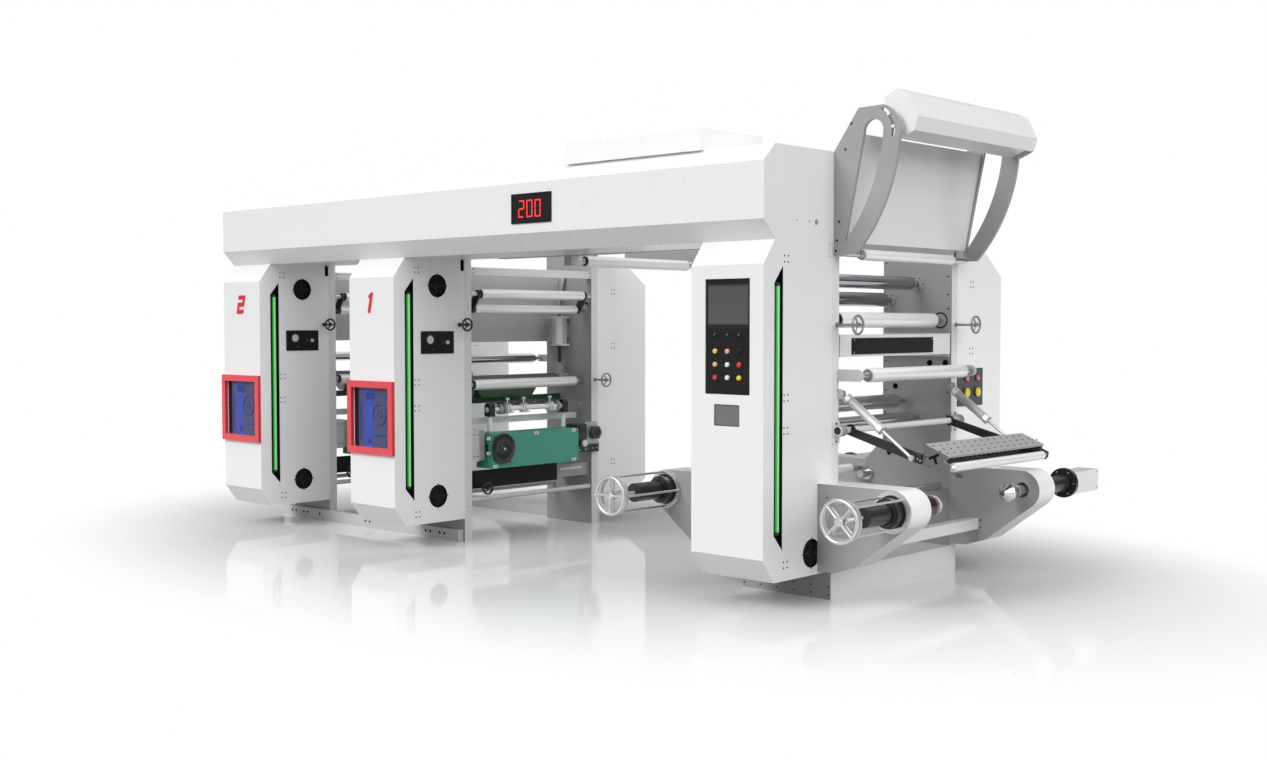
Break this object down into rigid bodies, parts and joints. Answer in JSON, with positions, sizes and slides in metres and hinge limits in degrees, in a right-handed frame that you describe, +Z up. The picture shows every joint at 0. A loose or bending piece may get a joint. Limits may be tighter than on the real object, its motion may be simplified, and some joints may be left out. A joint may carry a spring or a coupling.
{
  "type": "shaftless rotogravure printing press",
  "caption": "Web printing press: main tower and print units under one beam, with shaftless unwind and rewind arms, nip frame and tilting hood.",
  "frame": {"origin": "on the floor, at the middle of the underside of the tower's plinth, on the web's centre line", "axes": "+Z up, +X along the beam from the print units to the tower, +Y away from the operator"},
  "size_m": [5.489, 2.526, 2.54],
  "materials": {
    "white_paint": "smooth enamel",
    "grey_paint": "smooth enamel",
    "black_paint": "satin enamel",
    "red_paint": "gloss enamel",
    "teal_paint": "satin enamel",
    "green_paint": "satin enamel",
    "light_tube": "lit",
    "panel_black": "satin",
    "roller_metal": "turned",
    "dark_roller": "ground",
    "chrome": "polished",
    "steel": "ground",
    "black_iron": "blackened",
    "window_glass": "tinted"
  },
  "bodies": {
    "press": {"tower_plates": "grey_paint", "unit_plates": "grey_paint", "plinth": "white_paint", "bridge_plates": "grey_paint", "floor_rails": "grey_paint", "tower_front_housing": "white_paint", "unit_front_housings": "white_paint", "rear_cabinets": "white_paint", "overhead_beam": "white_paint", "light_strips": "light_tube", "control_panel": "panel_black", "side_panels": "panel_black", "unit_windows": "red_paint", "unit_panes": "window_glass", "tower_bars": "steel", "unit_bars": "steel", "dryer_panels": "grey_paint", "ink_pans": "green_paint", "doctor_blades": "steel", "drive_boxes": "teal_paint", "impression_cylinders": "roller_metal", "idle_rollers": "roller_metal", "hood_brackets": "grey_paint", "hood_back_sheet": "white_paint", "unwind_arms": "grey_paint", "chuck_cages": "chrome", "tension_brakes": "black_paint"},
    "tower_upper_roller": {"tower_upper_roller": "roller_metal"},
    "tower_second_roller": {"tower_second_roller": "roller_metal"},
    "tower_draw_cylinder": {"tower_draw_cylinder": "roller_metal"},
    "front_guide_roller": {"front_guide_roller": "roller_metal"},
    "top_guide_roller": {"top_guide_roller": "roller_metal"},
    "unit_1_top_roller": {"unit_1_top_roller": "roller_metal"},
    "unit_1_second_roller": {"unit_1_second_roller": "roller_metal"},
    "unit_1_exit_roller": {"unit_1_exit_roller": "roller_metal"},
    "unit_1_impression_roller": {"unit_1_impression_roller": "dark_roller"},
    "unit_1_handwheel_front": {"unit_1_handwheel_front": "black_iron"},
    "unit_1_handwheel_rear": {"unit_1_handwheel_rear": "chrome"},
    "unit_2_top_roller": {"unit_2_top_roller": "roller_metal"},
    "unit_2_second_roller": {"unit_2_second_roller": "roller_metal"},
    "unit_2_exit_roller": {"unit_2_exit_roller": "roller_metal"},
    "unit_2_impression_roller": {"unit_2_impression_roller": "dark_roller"},
    "unit_2_handwheel_front": {"unit_2_handwheel_front": "black_iron"},
    "unit_2_handwheel_rear": {"unit_2_handwheel_rear": "chrome"},
    "tower_handwheel_front": {"tower_handwheel_front": "chrome"},
    "tower_handwheel_rear": {"tower_handwheel_rear": "chrome"},
    "inspection_hood": {"inspection_hood": "white_paint"},
    "right_chuck_sleeve": {"right_chuck_sleeve": "black_paint"},
    "right_chuck_handwheel": {"right_chuck_handwheel": "chrome"},
    "right_front_cone": {"right_front_cone": "chrome"},
    "right_rear_spindle": {"right_rear_spindle": "chrome"},
    "left_chuck_sleeve": {"left_chuck_sleeve": "black_paint"},
    "left_chuck_handwheel": {"left_chuck_handwheel": "chrome"},
    "left_front_cone": {"left_front_cone": "chrome"},
    "left_rear_spindle": {"left_rear_spindle": "chrome"},
    "nip_frame": {"nip_frame": "black_paint", "nip_box": "grey_paint"},
    "nip_barrels": {"nip_cylinder_barrels": "roller_metal"},
    "nip_rods": {"nip_cylinder_rods": "chrome"},
    "nip_roller": {"nip_roller": "roller_metal"}
  },
  "joints": [
    {"name": "tower_upper_roller_spin", "type": "hinge", "parent": "press", "child": "tower_upper_roller", "pos_m": [0.062, 0, 1.623], "axis": [0, 1, 0], "continuous": true},
    {"name": "tower_second_roller_spin", "type": "hinge", "parent": "press", "child": "tower_second_roller", "pos_m": [-0.119, 0, 1.533], "axis": [0, 1, 0], "continuous": true},
    {"name": "tower_draw_cylinder_spin", "type": "hinge", "parent": "press", "child": "tower_draw_cylinder", "pos_m": [0.213, 0, 1.415], "axis": [0, 1, 0], "continuous": true},
    {"name": "front_guide_roller_spin", "type": "hinge", "parent": "press", "child": "front_guide_roller", "pos_m": [0.406, 0, 1.136], "axis": [0, 1, 0], "continuous": true},
    {"name": "top_guide_roller_spin", "type": "hinge", "parent": "press", "child": "top_guide_roller", "pos_m": [0.345, 0, 1.745], "axis": [0, 1, 0], "continuous": true},
    {"name": "unit_1_top_roller_spin", "type": "hinge", "parent": "press", "child": "unit_1_top_roller", "pos_m": [-2.565, 0, 1.586], "axis": [0, 1, 0], "continuous": true},
    {"name": "unit_1_second_roller_spin", "type": "hinge", "parent": "press", "child": "unit_1_second_roller", "pos_m": [-2.63, 0, 1.49], "axis": [0, 1, 0], "continuous": true},
    {"name": "unit_1_exit_roller_spin", "type": "hinge", "parent": "press", "child": "unit_1_exit_roller", "pos_m": [-2.639, 0, 0.998], "axis": [0, 1, 0], "continuous": true},
    {"name": "unit_1_impression_roller_spin", "type": "hinge", "parent": "press", "child": "unit_1_impression_roller", "pos_m": [-2.816, 0, 1.008], "axis": [0, 1, 0], "continuous": true},
    {"name": "unit_1_handwheel_front_spin", "type": "hinge", "parent": "press", "child": "unit_1_handwheel_front", "pos_m": [-2.556, -0.645, 1.389], "axis": [1, 0, 0], "continuous": true},
    {"name": "unit_1_handwheel_rear_spin", "type": "hinge", "parent": "press", "child": "unit_1_handwheel_rear", "pos_m": [-2.556, 0.575, 1.006], "axis": [1, 0, 0], "continuous": true},
    {"name": "unit_2_top_roller_spin", "type": "hinge", "parent": "press", "child": "unit_2_top_roller", "pos_m": [-4.04, 0, 1.586], "axis": [0, 1, 0], "continuous": true},
    {"name": "unit_2_second_roller_spin", "type": "hinge", "parent": "press", "child": "unit_2_second_roller", "pos_m": [-4.105, 0, 1.49], "axis": [0, 1, 0], "continuous": true},
    {"name": "unit_2_exit_roller_spin", "type": "hinge", "parent": "press", "child": "unit_2_exit_roller", "pos_m": [-4.114, 0, 0.998], "axis": [0, 1, 0], "continuous": true},
    {"name": "unit_2_impression_roller_spin", "type": "hinge", "parent": "press", "child": "unit_2_impression_roller", "pos_m": [-4.291, 0, 1.008], "axis": [0, 1, 0], "continuous": true},
    {"name": "unit_2_handwheel_front_spin", "type": "hinge", "parent": "press", "child": "unit_2_handwheel_front", "pos_m": [-4.031, -0.645, 1.389], "axis": [1, 0, 0], "continuous": true},
    {"name": "unit_2_handwheel_rear_spin", "type": "hinge", "parent": "press", "child": "unit_2_handwheel_rear", "pos_m": [-4.031, 0.575, 1.006], "axis": [1, 0, 0], "continuous": true},
    {"name": "tower_handwheel_front_spin", "type": "hinge", "parent": "press", "child": "tower_handwheel_front", "pos_m": [0.285, -0.575, 1.39], "axis": [1, 0, 0], "continuous": true},
    {"name": "tower_handwheel_rear_spin", "type": "hinge", "parent": "press", "child": "tower_handwheel_rear", "pos_m": [0.285, 0.575, 1.39], "axis": [1, 0, 0], "continuous": true},
    {"name": "hood_tilt", "type": "hinge", "parent": "press", "child": "inspection_hood", "pos_m": [0.518, 0, 2.34], "axis": [0, -1, 0], "range_deg": [-12, 14]},
    {"name": "right_chuck_slide", "type": "slide", "parent": "press", "child": "right_chuck_sleeve", "axis": [0, 1, 0], "range_m": [-0.061, 0.021]},
    {"name": "right_chuck_screw", "type": "hinge", "parent": "press", "child": "right_chuck_handwheel", "pos_m": [0.724, -1.165, 0.496], "axis": [0, 1, 0], "range_deg": [-1800, 600]},
    {"name": "right_front_cone_spin", "type": "hinge", "parent": "right_chuck_sleeve", "child": "right_front_cone", "pos_m": [0.724, -0.345, 0.496], "axis": [0, 1, 0], "continuous": true},
    {"name": "right_rear_spindle_spin", "type": "hinge", "parent": "press", "child": "right_rear_spindle", "pos_m": [0.724, 0.545, 0.496], "axis": [0, 1, 0], "continuous": true},
    {"name": "left_chuck_slide", "type": "slide", "parent": "press", "child": "left_chuck_sleeve", "axis": [0, 1, 0], "range_m": [-0.061, 0.021]},
    {"name": "left_chuck_screw", "type": "hinge", "parent": "press", "child": "left_chuck_handwheel", "pos_m": [-0.724, -1.165, 0.496], "axis": [0, 1, 0], "range_deg": [-1800, 600]},
    {"name": "left_front_cone_spin", "type": "hinge", "parent": "left_chuck_sleeve", "child": "left_front_cone", "pos_m": [-0.724, -0.345, 0.496], "axis": [0, 1, 0], "continuous": true},
    {"name": "left_rear_spindle_spin", "type": "hinge", "parent": "press", "child": "left_rear_spindle", "pos_m": [-0.724, 0.545, 0.496], "axis": [0, 1, 0], "continuous": true},
    {"name": "nip_swing", "type": "hinge", "parent": "press", "child": "nip_frame", "pos_m": [0.315, 0, 0.858], "axis": [0, -1, 0], "range_deg": [0, 20]},
    {"name": "nip_barrel_swing", "type": "hinge", "parent": "press", "child": "nip_barrels", "pos_m": [0.29, 0, 1.044], "axis": [0, -1, 0], "range_deg": [-0.5, 16]},
    {"name": "nip_rod_slide", "type": "slide", "parent": "nip_barrels", "child": "nip_rods", "axis": [0.8042, 0, -0.5943], "range_m": [-0.056, 0.002]},
    {"name": "nip_roller_spin", "type": "hinge", "parent": "nip_frame", "child": "nip_roller", "pos_m": [0.889, 0, 0.702], "axis": [0, 1, 0], "continuous": true}
  ],
  "couplings": [
    {"joint": "right_chuck_slide", "follows": "right_chuck_screw", "m_per_rad": 0.0019099},
    {"joint": "left_chuck_slide", "follows": "left_chuck_screw", "m_per_rad": 0.0019099},
    {"joint": "nip_barrel_swing", "follows": "nip_swing", "ratio": 0.77073},
    {"joint": "nip_rod_slide", "follows": "nip_swing", "m_per_rad": -0.15039}
  ]
}
